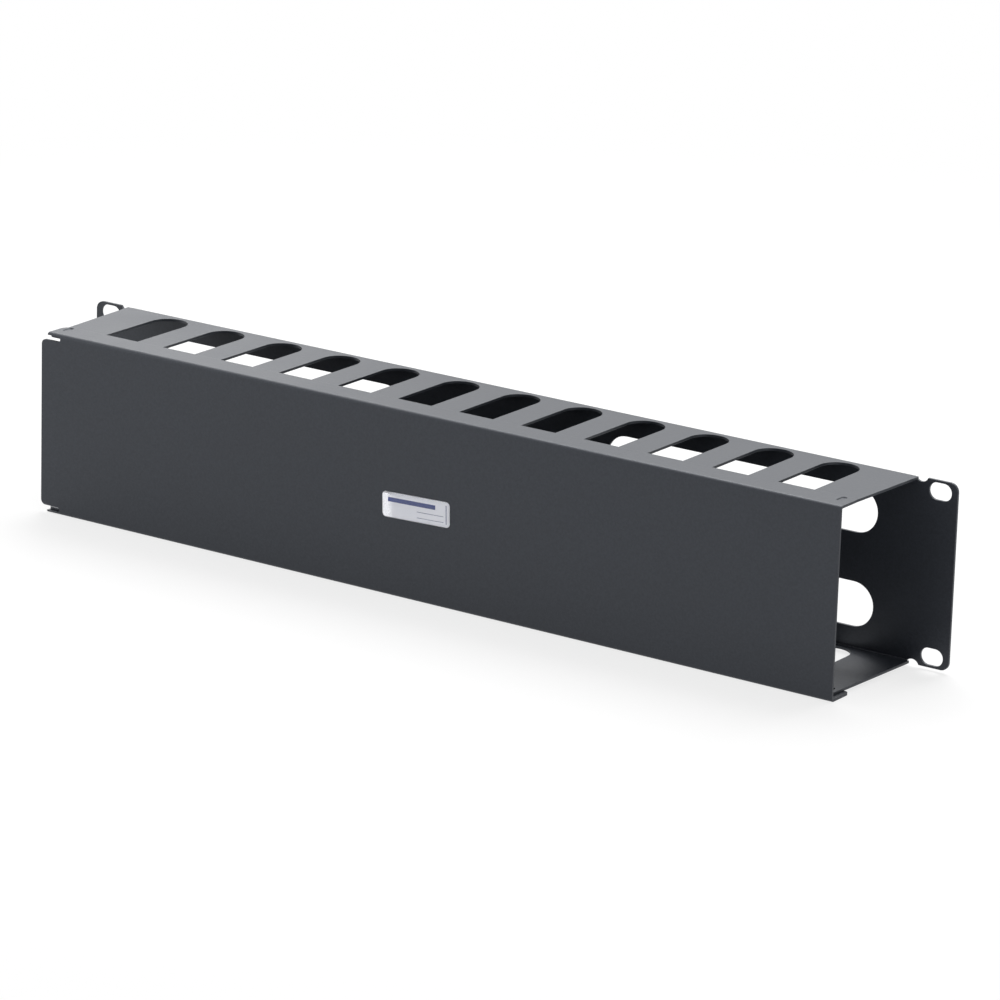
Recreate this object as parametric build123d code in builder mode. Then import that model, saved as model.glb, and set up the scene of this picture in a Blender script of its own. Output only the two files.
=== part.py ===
from build123d import *
import os

# Horizontal cable manager, two rack units high, folded from sheet steel.
# Millimetres. The origin is the centre of the rear mounting face, between the four rack holes.
# +X runs along the manager, the cover faces -Y and +Z is up.

os.makedirs("parts", exist_ok=True)

# Rack interface: a 19 inch panel over two rack units
panel_width = 482.6
cover_height = 88.9
hole_to_panel_end = 8.75
hole_to_unit_edge = 6.35
hole_length = 11.5
hole_height = 8.0
ear_corner_radius = 4.0

# Sheet and fits
sheet = 1.2
bend_radius = 0.4
cover_clearance = 0.1
finger_tip_clearance = 0.5

# Channel
body_length = 443.0
finger_reach = 65.3
end_taper = 3.0
bend_relief_radius = 3.5
bend_relief_offset = 1.3

# Finger slots in the top and bottom flanges
slot_count = 12
slot_width = 18.8
slot_end_land = 24.55
slot_to_back = 4.2
finger_corner_radius = 3.0

# Cable windows in the back plate, in two rows and two columns
window_length = 144.0
window_height = 21.0
window_end_land = 20.0
window_edge_land = 10.8

# Clip-on cover
cover_end_overhang = 0.0
cover_flange = 14.5
cover_corner_radius = 2.5
cover_flange_corner_radius = 2.0

# Tongues at the left end of the cover's flanges, each behind a slot
tongue_slot_length = 10.0
tongue_slot_height = 2.4
tongue_setback = 3.5
tongue_corner_radius = 5.0

# Detents at the four ends of the cover's flanges
dimple_length = 6.6
dimple_width = 3.2
dimple_depth = 0.5
dimple_wall_angle = 45.0
dimple_from_end = 6.0
dimple_from_tongue_end = 4.2
dimple_from_flange_edge = 4.0
detent_hole_radius = 1.2

# Domed label on the cover
label_length = 37.5
label_height = 12.0
label_corner_radius = 2.0
label_turn = 2.0
label_x = -1.8
label_z = -0.6
film_thickness = 0.2
dome_height = 1.5
dome_edge_radius = 1.0

# Sizes that follow
bend_outer_radius = bend_radius + sheet
body_height = cover_height - 2 * (sheet + cover_clearance)
hole_spacing_x = panel_width - 2 * hole_to_panel_end
hole_spacing_z = cover_height - 2 * hole_to_unit_edge
slot_pitch = (body_length - 2 * slot_end_land - slot_width) / (slot_count - 1)
window_spacing_x = body_length - 2 * window_end_land - window_length
window_spacing_z = body_height - 2 * window_edge_land - window_height
ear_width = (panel_width - body_length) / 2
cover_front = finger_reach + finger_tip_clearance + sheet
cover_rear_edge = cover_front - cover_flange
cover_length = body_length + 2 * cover_end_overhang
tongue_slot_top = cover_height / 2 - sheet
tongue_slot_bottom = tongue_slot_top - tongue_slot_height
tongue_end_x = -cover_length / 2 + tongue_setback
dimple_y = -cover_rear_edge - dimple_from_flange_edge
dimple_places = (
    (tongue_end_x + dimple_from_tongue_end, dimple_y),
    (cover_length / 2 - dimple_from_end, dimple_y),
)


# Channel: back plate with rack ears and two slotted flanges, one folded sheet
with BuildPart() as channel_body:
    with BuildSketch(Plane.YZ):
        with Locations((-finger_reach / 2, 0)):
            Rectangle(finger_reach, body_height)
        with Locations((-finger_reach / 2 - sheet, 0)):
            Rectangle(finger_reach, body_height - 2 * sheet, mode=Mode.SUBTRACT)
    extrude(amount=body_length / 2, both=True)
    fold_edges = channel_body.edges().filter_by(Axis.X).group_by(Axis.Y)
    fillet(fold_edges[-1], bend_outer_radius)
    fillet(fold_edges[-2], bend_radius)

    # Rack ears, in the plane of the back plate
    with BuildSketch(Plane.XZ) as ears:
        with GridLocations(panel_width - ear_width, 0, 2, 1):
            Rectangle(ear_width, body_height)
        ear_corners = ears.vertices().group_by(Axis.X)
        fillet(ear_corners[0] + ear_corners[-1], ear_corner_radius)
    extrude(amount=sheet)

    # Round reliefs where each fold stops beside an ear
    with BuildSketch(Plane.XZ):
        relief_spacing_x = body_length + 2 * bend_relief_offset
        relief_spacing_z = body_height + 2 * bend_relief_offset
        with GridLocations(relief_spacing_x, relief_spacing_z, 2, 2):
            Circle(bend_relief_radius)
    extrude(amount=bend_outer_radius, mode=Mode.SUBTRACT)

    # Rack holes and cable windows
    with BuildSketch(Plane.XZ):
        with GridLocations(hole_spacing_x, hole_spacing_z, 2, 2):
            SlotOverall(hole_length, hole_height)
        with GridLocations(window_spacing_x, window_spacing_z, 2, 2):
            SlotOverall(window_length, window_height)
    extrude(amount=sheet, mode=Mode.SUBTRACT)

    # Flange ends taper inwards from the fold to the finger tips
    with BuildSketch(Plane.XY) as tapered_ends:
        with BuildLine():
            Polyline(
                (body_length / 2, -bend_outer_radius),
                (body_length / 2 - end_taper, -finger_reach),
                (body_length / 2, -finger_reach),
                close=True,
            )
        make_face()
        mirror(about=Plane.YZ)
    extrude(amount=body_height, both=True, mode=Mode.SUBTRACT)

    # Finger slots: open at the finger tips, half-round beside the back plate
    slot_end_y = -slot_to_back - slot_width / 2
    slot_run = finger_reach + slot_end_y
    with BuildSketch(Plane.XY):
        with Locations((0, slot_end_y)):
            with GridLocations(slot_pitch, 0, slot_count, 1):
                Circle(slot_width / 2)
        with Locations((0, slot_end_y - slot_run / 2)):
            with GridLocations(slot_pitch, 0, slot_count, 1):
                Rectangle(slot_width, slot_run)
    extrude(amount=body_height, both=True, mode=Mode.SUBTRACT)
    finger_tips = channel_body.edges().filter_by(Axis.Z).group_by(Axis.Y)[0]
    fillet(finger_tips, finger_corner_radius)

    # Holes under the cover's dimples
    with BuildSketch(Plane.XY):
        with Locations(*dimple_places):
            Circle(detent_hole_radius)
    extrude(amount=body_height, both=True, mode=Mode.SUBTRACT)

channel_body.part.label = "channel_body"
export_step(channel_body.part, "parts/channel_body.step")


# Cover: flat face with a short flange above and below, folded over the fingers
with BuildPart() as front_cover:
    with BuildSketch(Plane.YZ):
        with Locations((-cover_front + cover_flange / 2, 0)):
            Rectangle(cover_flange, cover_height)
        with Locations((-cover_front + cover_flange / 2 + sheet, 0)):
            Rectangle(cover_flange, cover_height - 2 * sheet, mode=Mode.SUBTRACT)
    extrude(amount=cover_length / 2, both=True)
    fold_edges = front_cover.edges().filter_by(Axis.X).group_by(Axis.Y)
    fillet(fold_edges[0], bend_outer_radius)
    fillet(fold_edges[1], bend_radius)

    # Slots that part the left end of each flange from the face, so that its detent can spring
    with BuildSketch(Plane.XZ.offset(cover_front)):
        tongue_slot_spacing_z = tongue_slot_top + tongue_slot_bottom
        with Locations((-cover_length / 2 + tongue_slot_length / 2, 0)):
            with GridLocations(0, tongue_slot_spacing_z, 1, 2):
                Rectangle(tongue_slot_length, tongue_slot_height)
        with Locations((-cover_length / 2 + tongue_slot_length, 0)):
            with GridLocations(0, tongue_slot_spacing_z, 1, 2):
                Circle(tongue_slot_height / 2)
    extrude(amount=-bend_outer_radius, mode=Mode.SUBTRACT)

    # The tongues stop short of the face's end
    with BuildSketch(Plane.XZ.offset(cover_front)):
        with Locations((-cover_length / 2 + tongue_setback / 2, 0)):
            Rectangle(tongue_setback, cover_height)
            Rectangle(tongue_setback, 2 * tongue_slot_bottom, mode=Mode.SUBTRACT)
    extrude(amount=-cover_flange, mode=Mode.SUBTRACT)

    # Rounded corners of the flanges and of the face's free end
    flange_corners = front_cover.edges().filter_by(Axis.Z).group_by(Axis.Y)[-1].group_by(Axis.X)
    fillet(flange_corners[0], tongue_corner_radius)
    fillet(flange_corners[-1], cover_flange_corner_radius)
    face_corners = front_cover.edges().filter_by(Axis.Y).group_by(Axis.X)[0]
    fillet(face_corners, cover_corner_radius)

    # Detent dimples, pressed in near the end of each flange
    for side in (-1, 1):
        with BuildSketch(Plane.XY.offset(side * cover_height / 2)):
            with Locations(*dimple_places):
                SlotOverall(dimple_length, dimple_width, rotation=90)
        extrude(amount=-side * dimple_depth, taper=dimple_wall_angle, mode=Mode.SUBTRACT)

front_cover.part.label = "front_cover"
export_step(front_cover.part, "parts/front_cover.step")


# Label: a printed film stuck on the cover, a little askew, under a clear dome
with BuildPart() as label_film:
    with BuildSketch(Plane.XZ.offset(cover_front)):
        with Locations((label_x, label_z)):
            RectangleRounded(label_length, label_height, label_corner_radius, rotation=label_turn)
    extrude(amount=film_thickness)

label_film.part.label = "label_film"
export_step(label_film.part, "parts/label_film.step")

with BuildPart() as label_dome:
    with BuildSketch(Plane.XZ.offset(cover_front + film_thickness)):
        with Locations((label_x, label_z)):
            RectangleRounded(label_length, label_height, label_corner_radius, rotation=label_turn)
    extrude(amount=dome_height)
    fillet(label_dome.faces().sort_by(Axis.Y)[0].edges(), dome_edge_radius)

label_dome.part.label = "label_dome"
export_step(label_dome.part, "parts/label_dome.step")
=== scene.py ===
"""Looks of a horizontal cable manager, two rack units high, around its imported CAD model.

The two folded sheets are the CAD nodes themselves and get their powder coat here. The label's
print goes on the CAD film, and its cast resin dome is a piece of its own.
"""
import math

import bpy
import numpy as np
from mathutils import Matrix, Vector


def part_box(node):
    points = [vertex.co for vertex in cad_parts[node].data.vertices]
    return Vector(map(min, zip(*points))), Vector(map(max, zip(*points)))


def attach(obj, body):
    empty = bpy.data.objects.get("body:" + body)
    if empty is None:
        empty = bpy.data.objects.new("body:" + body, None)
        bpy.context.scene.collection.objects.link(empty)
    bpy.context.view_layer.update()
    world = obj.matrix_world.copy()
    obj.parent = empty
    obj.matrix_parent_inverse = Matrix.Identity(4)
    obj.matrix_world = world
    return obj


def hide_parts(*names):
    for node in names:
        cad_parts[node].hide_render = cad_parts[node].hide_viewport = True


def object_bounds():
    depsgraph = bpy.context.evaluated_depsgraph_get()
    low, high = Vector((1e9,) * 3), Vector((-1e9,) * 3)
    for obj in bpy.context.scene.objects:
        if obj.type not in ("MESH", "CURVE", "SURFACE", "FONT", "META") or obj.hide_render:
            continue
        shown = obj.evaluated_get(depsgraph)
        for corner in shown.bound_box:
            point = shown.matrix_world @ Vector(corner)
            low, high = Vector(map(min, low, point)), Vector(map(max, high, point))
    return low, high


bl_info = {
    "name": "Horizontal cable manager looks",
    "version": (1, 0, 0),
    "blender": (4, 5, 0),
    "location": "3D View > Sidebar > Cable manager",
    "description": "Powder coat, domed label and studio for a rack cable manager",
    "category": "Object",
}

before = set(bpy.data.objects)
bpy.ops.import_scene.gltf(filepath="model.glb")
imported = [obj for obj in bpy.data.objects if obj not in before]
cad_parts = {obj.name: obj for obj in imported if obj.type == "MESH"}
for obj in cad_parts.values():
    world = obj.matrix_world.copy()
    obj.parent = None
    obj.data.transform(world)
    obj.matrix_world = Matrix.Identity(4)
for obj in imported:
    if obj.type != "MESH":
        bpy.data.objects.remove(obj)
CAD_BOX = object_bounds()

MM = 0.001
FLOOR_Z = CAD_BOX[0].z
FILM_LOW, FILM_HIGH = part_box("label_film")
DOME_LOW, DOME_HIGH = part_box("label_dome")
LABEL_CENTRE = (DOME_LOW + DOME_HIGH) / 2

# A colour Mix node's sockets, which share their names with its float and vector ones
MIX_FACTOR, MIX_A, MIX_B, MIX_RESULT = 0, 6, 7, 2


def linear(hex_colour):
    """An sRGB hex colour as linear red, green and blue."""
    srgb = np.array([int(hex_colour[i : i + 2], 16) for i in (0, 2, 4)]) / 255
    return tuple(np.where(srgb <= 0.04045, srgb / 12.92, ((srgb + 0.055) / 1.055) ** 2.4))


def add_node(tree, kind, inputs=None, **settings):
    """Adds a node with its settings, then links each given socket or sets each given value."""
    made = tree.nodes.new(kind)
    for name, value in settings.items():
        setattr(made, name, value)
    for socket, value in (inputs or {}).items():
        if isinstance(value, bpy.types.NodeSocket):
            tree.links.new(value, made.inputs[socket])
        else:
            made.inputs[socket].default_value = value
    return made


def new_material(name):
    """A material with an empty node tree and its output node."""
    material = bpy.data.materials.new(name)
    material.use_nodes = True
    material.node_tree.nodes.clear()
    return material, material.node_tree


def finish_material(tree, shader, viewport, material):
    """Joins the last shader to the output and sets the viewport's colour."""
    add_node(tree, "ShaderNodeOutputMaterial", {"Surface": shader})
    material.diffuse_color = (*viewport, 1.0)


def mesh_piece(name, points, faces, material, smooth=True):
    """A mesh object from arrays of points and faces, at the origin."""
    mesh = bpy.data.meshes.new(name)
    mesh.from_pydata(points.tolist(), [], faces)
    mesh.materials.append(material)
    mesh.polygons.foreach_set("use_smooth", np.full(len(mesh.polygons), smooth))
    mesh.update()
    piece = bpy.data.objects.new(name, mesh)
    bpy.context.scene.collection.objects.link(piece)
    return piece


class CableManagerCoat(bpy.types.PropertyGroup):
    """The paint of the two folded sheets."""

    colour: bpy.props.FloatVectorProperty(
        name="Paint colour",
        description="Colour of the powder coat",
        subtype="COLOR",
        size=3,
        min=0.0,
        max=1.0,
        default=linear("26292f"),
    )
    shine_colour: bpy.props.FloatVectorProperty(
        name="Shine colour",
        description="Colour that the paint gives to what it mirrors face-on",
        subtype="COLOR",
        size=3,
        min=0.0,
        max=1.0,
        default=(0.89, 0.93, 1.0),
    )
    # Painted highlight: a lighter paint colour along the cut edges, standing in for light on
    # their rounding
    edge_highlight_colour: bpy.props.FloatVectorProperty(
        name="Thin paint colour",
        description="Colour along the sheet's cut edges, where the powder pulls back",
        subtype="COLOR",
        size=3,
        min=0.0,
        max=1.0,
        default=linear("33353b"),
    )
    roughness: bpy.props.FloatProperty(
        name="Roughness",
        description="Roughness of the paint between its grains",
        subtype="FACTOR",
        min=0.0,
        max=1.0,
        default=0.46,
    )
    grain: bpy.props.FloatProperty(
        name="Grain",
        description="Width of one grain of the paint's texture",
        subtype="DISTANCE",
        unit="LENGTH",
        default=0.9 * MM,
    )
    relief: bpy.props.FloatProperty(
        name="Relief",
        description="Height of the grains over the paint's valleys",
        subtype="DISTANCE",
        unit="LENGTH",
        default=0.035 * MM,
    )
    edge_radius: bpy.props.FloatProperty(
        name="Edge radius",
        description="Radius that the paint gives to the sheet's cut edges",
        subtype="DISTANCE",
        unit="LENGTH",
        default=0.3 * MM,
    )


class CableManagerLabel(bpy.types.PropertyGroup):
    """The printed film and the resin dome on it."""

    length: bpy.props.FloatProperty(
        name="Length",
        description="Length of the label",
        subtype="DISTANCE",
        unit="LENGTH",
        default=37.5 * MM,
    )
    height: bpy.props.FloatProperty(
        name="Height",
        description="Height of the label",
        subtype="DISTANCE",
        unit="LENGTH",
        default=12.0 * MM,
    )
    corner_radius: bpy.props.FloatProperty(
        name="Corner radius",
        description="Radius of the label's corners",
        subtype="DISTANCE",
        unit="LENGTH",
        default=2.0 * MM,
    )
    turn: bpy.props.FloatProperty(
        name="Turn",
        description="How far the label is stuck on askew",
        subtype="ANGLE",
        unit="ROTATION",
        default=math.radians(2.0),
    )
    film_colour: bpy.props.FloatVectorProperty(
        name="Film colour",
        description="Colour of the white ink on the film's field",
        subtype="COLOR",
        size=3,
        min=0.0,
        max=1.0,
        default=linear("fafbff"),
    )
    # Painted highlight: the next three settings draw a band of bare, mirror-like silver at the
    # film's left end, where the dome's end would light up
    highlight_band_length: bpy.props.FloatProperty(
        name="Bare length",
        description="Length of the film's bare silver left end",
        subtype="DISTANCE",
        unit="LENGTH",
        default=3.0 * MM,
    )
    highlight_band_fade: bpy.props.FloatProperty(
        name="Bare fade",
        description="Length over which the white ink covers the silver",
        subtype="DISTANCE",
        unit="LENGTH",
        default=4.5 * MM,
    )
    highlight_band_silver: bpy.props.FloatVectorProperty(
        name="Silver colour",
        description="Colour of the film's bare silver",
        subtype="COLOR",
        size=3,
        min=0.0,
        max=1.0,
        default=linear("fdfdff"),
    )
    rule_colour: bpy.props.FloatVectorProperty(
        name="Rule colour",
        description="Colour of the printed rule along the top",
        subtype="COLOR",
        size=3,
        min=0.0,
        max=1.0,
        default=linear("3b4a86"),
    )
    # The upright line drawn in this colour is a painted reflection: a dark line along the dome's
    # right rim
    lines_and_rim_reflection_colour: bpy.props.FloatVectorProperty(
        name="Line colour",
        description="Colour of the two writing lines and the upright line",
        subtype="COLOR",
        size=3,
        min=0.0,
        max=1.0,
        default=linear("8f92a8"),
    )


class CableManagerStage(bpy.types.PropertyGroup):
    """The floor and the studio light."""

    floor_colour: bpy.props.FloatVectorProperty(
        name="Floor colour",
        description="Colour of the floor",
        subtype="COLOR",
        size=3,
        min=0.0,
        max=1.0,
        default=linear("f4f4f4"),
    )
    floor_size: bpy.props.FloatProperty(
        name="Floor size",
        description="Length of the floor's side",
        subtype="DISTANCE",
        unit="LENGTH",
        default=8.0,
    )
    room_level: bpy.props.FloatProperty(
        name="Room level",
        description="Strength of the light that the room gives from all sides",
        min=0.0,
        max=2.0,
        default=0.45,
    )
    overhead_power: bpy.props.FloatProperty(
        name="Overhead power",
        description="Power of the large soft light above and behind",
        subtype="POWER",
        unit="POWER",
        default=38.0,
    )
    side_power: bpy.props.FloatProperty(
        name="Side power",
        description="Power of the soft light at the left in front",
        subtype="POWER",
        unit="POWER",
        default=0.35,
    )
    upper_power: bpy.props.FloatProperty(
        name="Upper power",
        description="Power of the soft light above and to the left",
        subtype="POWER",
        unit="POWER",
        default=2.6,
    )
    rear_power: bpy.props.FloatProperty(
        name="Rear power",
        description="Power of the soft light at the left behind",
        subtype="POWER",
        unit="POWER",
        default=0.7,
    )


class CABLEMANAGER_OT_coat(bpy.types.Operator):
    """Give the two folded sheets their fine-texture powder coat"""

    bl_idname = "cable_manager.coat"
    bl_label = "Coat the sheets"

    def execute(self, context):
        settings = context.scene.cable_manager_coat
        material = powder_coat(settings)
        for name in ("channel_body", "front_cover"):
            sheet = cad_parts.get(name)
            if sheet is None:
                raise RuntimeError(f"the frame has no sheet named {name}")
            sheet.data.materials[0] = material
        return {"FINISHED"}


class CABLEMANAGER_OT_film(bpy.types.Operator):
    """Print the label's film"""

    bl_idname = "cable_manager.film"
    bl_label = "Print the film"

    def execute(self, context):
        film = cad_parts.get("label_film")
        if film is None:
            raise RuntimeError("the frame has no film for the label")
        film.data.materials[0] = printed_film(context.scene.cable_manager_label)
        return {"FINISHED"}


class CABLEMANAGER_OT_dome(bpy.types.Operator):
    """Cast the clear resin dome on the label's film"""

    bl_idname = "cable_manager.dome"
    bl_label = "Cast the dome"

    def execute(self, context):
        settings = context.scene.cable_manager_label
        points, faces = resin_dome(settings)
        if not np.isfinite(points).all():
            raise RuntimeError("the dome's surface has points that are not numbers")
        dome = mesh_piece("resin_dome", points, faces, clear_resin())
        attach(dome, "cover")
        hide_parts("label_dome")
        return {"FINISHED"}


class CABLEMANAGER_OT_stage(bpy.types.Operator):
    """Set up the floor, the soft light and the camera"""

    bl_idname = "cable_manager.stage"
    bl_label = "Set up the stage"

    def execute(self, context):
        settings = context.scene.cable_manager_stage
        make_floor(settings)
        make_room(context.scene, settings)
        make_lamps(context.scene, settings)
        make_camera(context.scene)
        context.scene.view_settings.view_transform = "Standard"
        if context.scene.camera is None:
            raise RuntimeError("the scene has no camera")
        return {"FINISHED"}


class CABLEMANAGER_PT_panel(bpy.types.Panel):
    """The steps of the cable manager and what they can change"""

    bl_idname = "CABLEMANAGER_PT_panel"
    bl_label = "Cable manager"
    bl_space_type = "VIEW_3D"
    bl_region_type = "UI"
    bl_category = "Cable manager"

    def draw(self, context):
        for group, operators in STEPS.items():
            box = self.layout.box()
            settings = getattr(context.scene, group)
            for name in settings.bl_rna.properties.keys():
                if name not in ("rna_type", "name"):
                    box.prop(settings, name)
            for operator in operators:
                box.operator(operator)


STEPS = {
    "cable_manager_coat": ("cable_manager.coat",),
    "cable_manager_label": ("cable_manager.film", "cable_manager.dome"),
    "cable_manager_stage": ("cable_manager.stage",),
}
GROUPS = {
    "cable_manager_coat": CableManagerCoat,
    "cable_manager_label": CableManagerLabel,
    "cable_manager_stage": CableManagerStage,
}
CLASSES = (
    *GROUPS.values(),
    CABLEMANAGER_OT_coat,
    CABLEMANAGER_OT_film,
    CABLEMANAGER_OT_dome,
    CABLEMANAGER_OT_stage,
    CABLEMANAGER_PT_panel,
)


def powder_coat(settings):
    """Polyester powder coat, sprayed and baked on folded sheet steel.

    The powder melts into fine grains about 0.3 mm wide. They are drawn 0.9 mm wide, because
    finer ones don't show at this size. They make the dark paint look soft face-on and pale at
    a grazing angle. Along cut edges the paint is drawn lighter, a painted highlight of their
    rounding. The spray gun's passes leave its film uneven, and the thin sheet under it has slow
    waves.
    """
    pass_width = 70 * MM
    wave_length, wave_height = 120 * MM, 0.5 * MM
    roughness_spread = 0.03
    material, tree = new_material("fine_texture_powder_coat")
    place = add_node(tree, "ShaderNodeTexCoord").outputs["Object"]
    grains = add_node(
        tree,
        "ShaderNodeTexNoise",
        {"Vector": place, "Scale": 1 / settings.grain, "Detail": 2.0, "Roughness": 0.6},
    ).outputs["Fac"]
    # Pebbles twice as wide as the grains, and lower
    pebbles = add_node(
        tree,
        "ShaderNodeTexVoronoi",
        {"Vector": place, "Scale": 0.5 / settings.grain, "Smoothness": 0.6},
        feature="SMOOTH_F1",
    ).outputs["Distance"]
    build = add_node(
        tree,
        "ShaderNodeTexNoise",
        {"Vector": place, "Scale": 1 / pass_width, "Detail": 2.0, "Roughness": 0.5},
    ).outputs["Fac"]
    waves = add_node(
        tree,
        "ShaderNodeTexNoise",
        {"Vector": place, "Scale": 1 / wave_length, "Detail": 0.0},
    ).outputs["Fac"]
    # Cut edges are where the rounded normal leans away from the true one
    rounded = add_node(
        tree, "ShaderNodeBevel", {"Radius": settings.edge_radius}, samples=6
    ).outputs["Normal"]
    true_normal = add_node(tree, "ShaderNodeNewGeometry").outputs["Normal"]
    along = add_node(
        tree, "ShaderNodeVectorMath", {0: rounded, 1: true_normal}, operation="DOT_PRODUCT"
    ).outputs["Value"]
    edge = add_node(
        tree,
        "ShaderNodeMapRange",
        {"Value": along, "From Min": 0.995, "From Max": 0.80, "To Min": 0.0, "To Max": 1.0},
    ).outputs["Result"]
    tint = add_node(
        tree,
        "ShaderNodeMapRange",
        {"Value": grains, "From Min": 0.3, "From Max": 0.7, "To Min": 0.82, "To Max": 1.18},
    ).outputs["Result"]
    broad_tint = add_node(
        tree,
        "ShaderNodeMapRange",
        {"Value": build, "From Min": 0.3, "From Max": 0.7, "To Min": 0.94, "To Max": 1.06},
    ).outputs["Result"]
    both_tints = add_node(
        tree, "ShaderNodeMath", {0: tint, 1: broad_tint}, operation="MULTIPLY"
    ).outputs["Value"]
    # Painted highlight: the base colour turns lighter along the cut edges
    paint = add_node(
        tree,
        "ShaderNodeMix",
        {
            MIX_FACTOR: edge,
            MIX_A: (*settings.colour, 1.0),
            MIX_B: (*settings.edge_highlight_colour, 1.0),
        },
        data_type="RGBA",
    ).outputs[MIX_RESULT]
    tinted = add_node(
        tree, "ShaderNodeVectorMath", {0: paint, "Scale": both_tints}, operation="SCALE"
    ).outputs["Vector"]
    roughness = add_node(
        tree,
        "ShaderNodeMapRange",
        {
            "Value": build,
            "From Min": 0.3,
            "From Max": 0.7,
            "To Min": settings.roughness - roughness_spread,
            "To Max": settings.roughness + roughness_spread,
        },
    ).outputs["Result"]
    wavy = add_node(
        tree,
        "ShaderNodeBump",
        {"Height": waves, "Distance": wave_height, "Normal": rounded},
    ).outputs["Normal"]
    pebbled = add_node(
        tree,
        "ShaderNodeBump",
        {"Height": pebbles, "Distance": 0.6 * settings.relief, "Normal": wavy},
        invert=True,
    ).outputs["Normal"]
    grained = add_node(
        tree,
        "ShaderNodeBump",
        {"Height": grains, "Distance": settings.relief, "Normal": pebbled},
    ).outputs["Normal"]
    shader = add_node(
        tree,
        "ShaderNodeBsdfPrincipled",
        {
            "Base Color": tinted,
            "Roughness": roughness,
            "IOR": 1.5,
            "Specular Tint": (*settings.shine_colour, 1.0),
            "Normal": grained,
        },
    ).outputs["BSDF"]
    finish_material(tree, shader, settings.colour, material)
    return material


def printed_film(settings):
    """Screen-printed metallised polyester film.

    The white ink of the field lets a faint glitter of the silver through, with a soft, cool
    shine. Its flakes are drawn 0.35 mm wide, coarser than real ones, so that they show. The
    left end is drawn as bare silver that mirrors the white room, a painted highlight band. The
    print is a plain rule and two fine writing lines. A thin upright line to the right of them
    is a painted dark reflection at the dome's rim.
    """
    flake_width, flake_height = 0.35 * MM, 0.01 * MM
    highlight_band_end = settings.highlight_band_length - settings.length / 2
    material, tree = new_material("printed_silver_film")
    place = add_node(tree, "ShaderNodeTexCoord").outputs["Object"]
    on_label = add_node(
        tree,
        "ShaderNodeMapping",
        {
            "Vector": place,
            "Location": (LABEL_CENTRE.x, 0.0, LABEL_CENTRE.z),
            "Rotation": (0.0, -settings.turn, 0.0),
        },
        vector_type="TEXTURE",
    ).outputs["Vector"]
    axes = add_node(tree, "ShaderNodeSeparateXYZ", {"Vector": on_label}).outputs
    # Painted highlight band: 1 at the film's left end, fading to 0 over the band's fade length
    bare = add_node(
        tree,
        "ShaderNodeMapRange",
        {
            "Value": axes["X"],
            "From Min": highlight_band_end,
            "From Max": highlight_band_end + settings.highlight_band_fade,
            "To Min": 1.0,
            "To Max": 0.0,
        },
        interpolation_type="SMOOTHSTEP",
    ).outputs["Result"]
    glitter = add_node(
        tree,
        "ShaderNodeTexNoise",
        {"Vector": place, "Scale": 1 / flake_width, "Detail": 1.0},
    ).outputs["Fac"]
    colour = add_node(
        tree,
        "ShaderNodeMix",
        {
            MIX_FACTOR: bare,
            MIX_A: (*settings.film_colour, 1.0),
            MIX_B: (*settings.highlight_band_silver, 1.0),
        },
        data_type="RGBA",
    ).outputs[MIX_RESULT]
    # Each line: its middle height, its half thickness, where it starts and ends, and its colour.
    # The first three are print. The last is an upright line at the right end, a painted dark
    # reflection of the dome's rim.
    lines = (
        (2.6 * MM, 1.0 * MM, -15.2 * MM, 11.2 * MM, settings.rule_colour),
        (-0.9 * MM, 0.14 * MM, 1.0 * MM, 15.6 * MM, settings.lines_and_rim_reflection_colour),
        (-3.6 * MM, 0.14 * MM, 1.0 * MM, 15.6 * MM, settings.lines_and_rim_reflection_colour),
        (0.0, 4.4 * MM, 16.7 * MM, 17.2 * MM, settings.lines_and_rim_reflection_colour),
    )
    for middle, half, start, end, ink in lines:
        in_height = add_node(
            tree,
            "ShaderNodeMath",
            {0: axes["Z"], 1: middle, 2: half},
            operation="COMPARE",
        ).outputs["Value"]
        in_length = add_node(
            tree,
            "ShaderNodeMath",
            {0: axes["X"], 1: (start + end) / 2, 2: (end - start) / 2},
            operation="COMPARE",
        ).outputs["Value"]
        inked = add_node(
            tree, "ShaderNodeMath", {0: in_height, 1: in_length}, operation="MULTIPLY"
        ).outputs["Value"]
        colour = add_node(
            tree,
            "ShaderNodeMix",
            {MIX_FACTOR: inked, MIX_A: colour, MIX_B: (*ink, 1.0)},
            data_type="RGBA",
        ).outputs[MIX_RESULT]
    silver_share = add_node(
        tree, "ShaderNodeMapRange", {"Value": bare, "To Min": 0.05, "To Max": 0.8}
    ).outputs["Result"]
    smoother = add_node(
        tree, "ShaderNodeMapRange", {"Value": bare, "To Min": 1.0, "To Max": 0.8}
    ).outputs["Result"]
    shine = add_node(
        tree,
        "ShaderNodeMapRange",
        {"Value": glitter, "From Min": 0.3, "From Max": 0.7, "To Min": 0.28, "To Max": 0.42},
    ).outputs["Result"]
    shine = add_node(
        tree, "ShaderNodeMath", {0: shine, 1: smoother}, operation="MULTIPLY"
    ).outputs["Value"]
    relief = add_node(
        tree, "ShaderNodeBump", {"Height": glitter, "Distance": flake_height}
    ).outputs["Normal"]
    shader = add_node(
        tree,
        "ShaderNodeBsdfPrincipled",
        {"Base Color": colour, "Metallic": silver_share, "Roughness": shine, "Normal": relief},
    ).outputs["BSDF"]
    finish_material(tree, shader, settings.film_colour, material)
    return material


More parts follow.
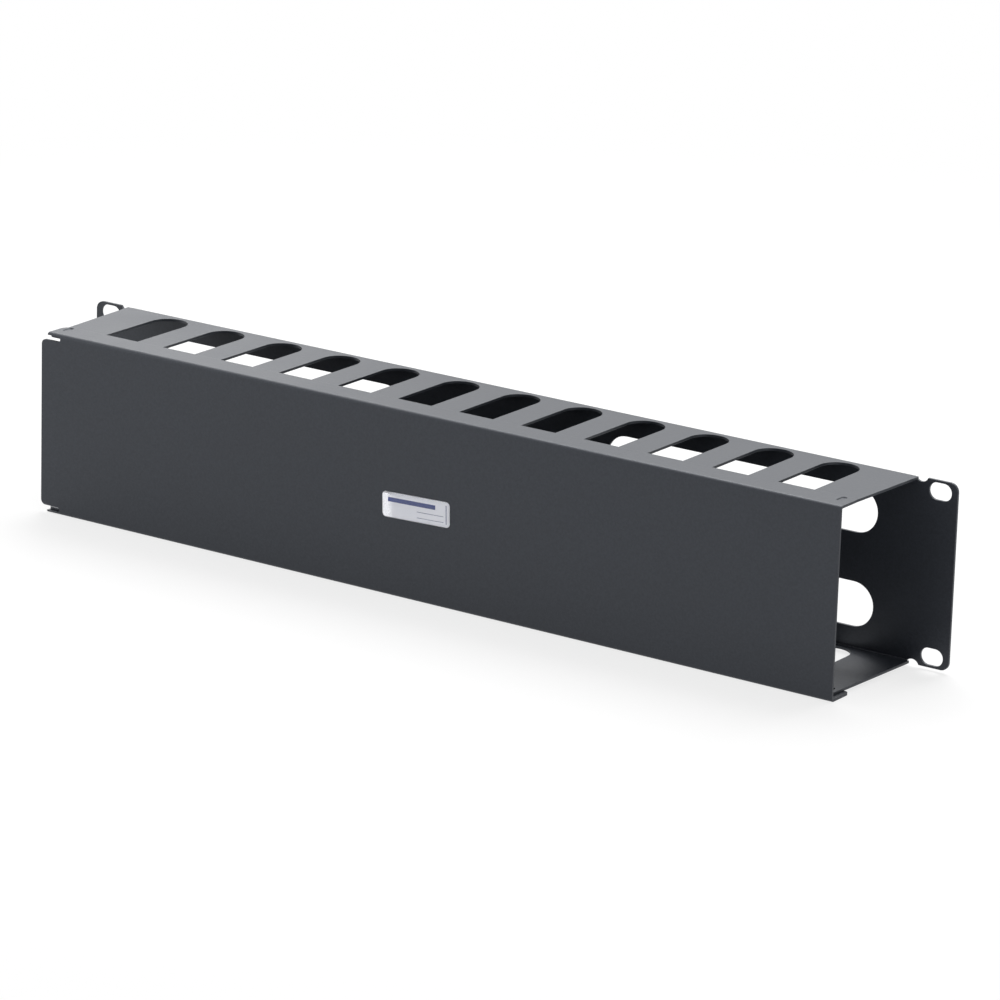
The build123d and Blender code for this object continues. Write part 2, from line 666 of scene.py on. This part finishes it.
def clear_resin():
    """Cast polyurethane resin, clear and glossy.

    It flows to a lens under its own surface tension, so it mirrors the room along its rim.
    Fine dust in the cast gives it slightly uneven gloss and the faintest ripple.
    """
    dust_width, ripple_height = 1.5 * MM, 0.004 * MM
    material, tree = new_material("clear_cast_resin")
    place = add_node(tree, "ShaderNodeTexCoord").outputs["Object"]
    dust = add_node(
        tree,
        "ShaderNodeTexNoise",
        {"Vector": place, "Scale": 1 / dust_width, "Detail": 3.0},
    ).outputs["Fac"]
    gloss = add_node(
        tree,
        "ShaderNodeMapRange",
        {"Value": dust, "From Min": 0.35, "From Max": 0.75, "To Min": 0.02, "To Max": 0.07},
    ).outputs["Result"]
    ripple = add_node(
        tree, "ShaderNodeBump", {"Height": dust, "Distance": ripple_height}
    ).outputs["Normal"]
    shader = add_node(
        tree,
        "ShaderNodeBsdfPrincipled",
        {
            "Base Color": (*linear("fbfcff"), 1.0),
            "Roughness": gloss,
            "IOR": 1.49,
            "Transmission Weight": 1.0,
            "Normal": ripple,
        },
    ).outputs["BSDF"]
    finish_material(tree, shader, linear("fbfcff"), material)
    return material


def rounded_outline(half_length, half_height, radius, per_corner, per_side):
    """A rounded rectangle as a closed ring of points, anticlockwise from the right side.

    Each corner is a quarter circle of the radius about its own centre, and each side is an even
    run of points between two corners.
    """
    corners = np.array([[1, -1], [1, 1], [-1, 1], [-1, -1]])
    centres = corners * np.array([half_length - radius, half_height - radius])
    turns = np.arange(4)[:, None] - 1 + np.linspace(0, 1, per_corner)
    angles = math.pi / 2 * turns
    arcs = centres[:, None] + radius * np.stack([np.cos(angles), np.sin(angles)], axis=-1)
    ends, next_starts = arcs[:, -1:], np.roll(arcs[:, :1], -1, axis=0)
    share = np.linspace(0, 1, per_side + 2)[1:-1, None]
    sides = ends + (next_starts - ends) * share
    return np.concatenate([arcs, sides], axis=1).reshape(-1, 2)


def resin_dome(settings):
    """The resin's surface: rings of points on the label, raised to a pillow's shape.

    Each ring is the label's outline drawn together to a share s of its size, with s the sine of
    an even angle, so that the rings lie closer near the rim. Let u be a point's distance from
    the middle as a share of half the label's length, and v the same over half its height. Its
    height over the film is the dome's full height times the square root of the product of
    1 - u to the power of 6, 1 - v cubed and 1 - s to the power of 24. The flat underside closes
    the shell. It lies a hair's breadth inside the film, so that the resin wets the print, and
    the rim stays the same hair's breadth inside the film's edge.
    """
    sink = 0.02 * MM
    rings = 40
    rim_y = DOME_HIGH.y + sink
    half_length, half_height = settings.length / 2 - sink, settings.height / 2 - sink
    outline = rounded_outline(
        half_length, half_height, settings.corner_radius, per_corner=12, per_side=14
    )
    shares = np.sin(np.linspace(0, math.pi / 2, rings + 1))[1:]
    level = shares[:, None, None] * outline[None]
    along = np.abs(level[..., 0]) / half_length
    across = np.abs(level[..., 1]) / half_height
    falls = (1 - along**6) * (1 - across**3) * (1 - shares[:, None] ** 24)
    height = (rim_y - DOME_LOW.y) * np.sqrt(np.clip(falls, 0, None))
    cos_turn, sin_turn = math.cos(settings.turn), math.sin(settings.turn)
    flat = level @ np.array([[cos_turn, sin_turn], [-sin_turn, cos_turn]])
    count, around = len(shares), len(outline)
    points = np.empty((count, around, 3))
    points[..., 0] = LABEL_CENTRE.x + flat[..., 0]
    points[..., 1] = rim_y - height
    points[..., 2] = LABEL_CENTRE.z + flat[..., 1]
    crown = [[LABEL_CENTRE.x, DOME_LOW.y, LABEL_CENTRE.z]]
    under = [[LABEL_CENTRE.x, rim_y, LABEL_CENTRE.z]]
    every = np.concatenate([points.reshape(-1, 3), crown, under])
    here = np.arange(around)
    after = (here + 1) % around
    inner = (np.arange(count - 1) * around)[:, None]
    quads = np.stack(
        [inner + here, inner + around + here, inner + around + after, inner + after], axis=-1
    ).reshape(-1, 4)
    top = np.column_stack([np.full(around, count * around), here, after])
    rim = (count - 1) * around
    bottom = np.column_stack([np.full(around, count * around + 1), rim + after, rim + here])
    return every, quads.tolist() + top.tolist() + bottom.tolist()


def looked_at(tree):
    """1 for a ray from the camera, off something glossy or through something clear, else 0."""
    ray = add_node(tree, "ShaderNodeLightPath").outputs
    seen = ray["Is Camera Ray"]
    for kind in ("Is Glossy Ray", "Is Transmission Ray"):
        seen = add_node(
            tree, "ShaderNodeMath", {0: seen, 1: ray[kind]}, operation="MAXIMUM"
        ).outputs["Value"]
    return seen


def make_floor(settings):
    """A plain matt floor under the object, which shows its soft shadow and is white beyond it.

    The white takes over between 0.3 and 0.9 m from the middle.
    """
    sides = np.array([[-1, -1], [1, -1], [1, 1], [-1, 1]]) * settings.floor_size / 2
    corners = np.column_stack([sides, np.full(4, FLOOR_Z)])
    material, tree = new_material("matt_white_floor")
    place = add_node(tree, "ShaderNodeTexCoord").outputs["Object"]
    distance = add_node(
        tree, "ShaderNodeVectorMath", {0: place}, operation="LENGTH"
    ).outputs["Value"]
    far = add_node(
        tree,
        "ShaderNodeMapRange",
        {"Value": distance, "From Min": 0.3, "From Max": 0.9, "To Min": 0.75, "To Max": 1.0},
        interpolation_type="SMOOTHSTEP",
    ).outputs["Result"]
    share = add_node(
        tree, "ShaderNodeMath", {0: looked_at(tree), 1: far}, operation="MULTIPLY"
    ).outputs["Value"]
    lit = add_node(
        tree, "ShaderNodeBsdfDiffuse", {"Color": (*settings.floor_colour, 1.0)}
    ).outputs["BSDF"]
    white = add_node(
        tree, "ShaderNodeEmission", {"Color": (1.0, 1.0, 1.0, 1.0), "Strength": 1.0}
    ).outputs["Emission"]
    shader = add_node(
        tree, "ShaderNodeMixShader", {0: share, 1: lit, 2: white}
    ).outputs["Shader"]
    finish_material(tree, shader, settings.floor_colour, material)
    floor = mesh_piece("floor", corners, [[0, 1, 2, 3]], material, smooth=False)


def make_room(scene, settings):
    """The room: an even grey light on everything, and plain white where it is seen."""
    world = bpy.data.worlds.new("white_room")
    world.use_nodes = True
    tree = world.node_tree
    tree.nodes.clear()
    strength = add_node(
        tree,
        "ShaderNodeMapRange",
        {"Value": looked_at(tree), "To Min": settings.room_level, "To Max": 1.0},
    ).outputs["Result"]
    background = add_node(
        tree, "ShaderNodeBackground", {"Color": (1.0, 1.0, 1.0, 1.0), "Strength": strength}
    ).outputs["Background"]
    add_node(tree, "ShaderNodeOutputWorld", {"Surface": background})
    scene.world = world


def make_lamps(scene, settings):
    """Soft boxes that point at the object: one above and behind, three at its left."""
    # Each lamp: its name, where it stands, its width and height, and its power
    lamps = (
        ("overhead_softbox", (-0.2, 0.85, 1.45), 1.6, 1.2, settings.overhead_power),
        ("side_softbox", (-0.55, -0.5, 0.2), 0.08, 0.32, settings.side_power),
        ("rear_softbox", (-0.75, 0.55, 0.35), 0.4, 0.3, settings.rear_power),
        ("upper_softbox", (-0.76, -0.15, 1.15), 0.6, 0.7, settings.upper_power),
    )
    for name, place, width, height, power in lamps:
        lamp = bpy.data.lights.new(name, "AREA")
        lamp.shape = "RECTANGLE"
        lamp.size, lamp.size_y = width, height
        lamp.energy = power
        light = bpy.data.objects.new(name, lamp)
        light.location = place
        light.rotation_mode = "QUATERNION"
        light.rotation_quaternion = (-Vector(place)).to_track_quat("-Z", "Y")
        scene.collection.objects.link(light)


def make_camera(scene):
    """A long lens from the right in front, a little above, and turned slightly about its axis."""
    azimuth, elevation, roll = (math.radians(angle) for angle in (34.41, 16.71, 1.71))
    place = Vector((1352.7, -1977.35, 707.91)) * MM
    forward = Vector(
        (
            -math.sin(azimuth) * math.cos(elevation),
            math.cos(azimuth) * math.cos(elevation),
            -math.sin(elevation),
        )
    )
    right = Vector((math.cos(azimuth), math.sin(azimuth), 0.0))
    up = right.cross(forward)
    across = math.cos(roll) * right + math.sin(roll) * up
    above = -math.sin(roll) * right + math.cos(roll) * up
    data = bpy.data.cameras.new("camera")
    data.sensor_width = 36.0
    data.lens = 194.12
    data.clip_start, data.clip_end = 0.05, 50.0
    camera = bpy.data.objects.new("camera", data)
    turned = Matrix((across, above, -forward)).transposed().to_4x4()
    camera.matrix_world = Matrix.Translation(place) @ turned
    scene.collection.objects.link(camera)
    scene.camera = camera


def register():
    for kind in CLASSES:
        bpy.utils.register_class(kind)
    for name, group in GROUPS.items():
        setattr(bpy.types.Scene, name, bpy.props.PointerProperty(type=group))


def unregister():
    for name in GROUPS:
        delattr(bpy.types.Scene, name)
    for kind in reversed(CLASSES):
        bpy.utils.unregister_class(kind)


def main():
    """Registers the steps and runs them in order."""
    register()
    bpy.ops.cable_manager.coat()
    bpy.ops.cable_manager.film()
    bpy.ops.cable_manager.dome()
    bpy.ops.cable_manager.stage()


if __name__ == "__main__":
    main()
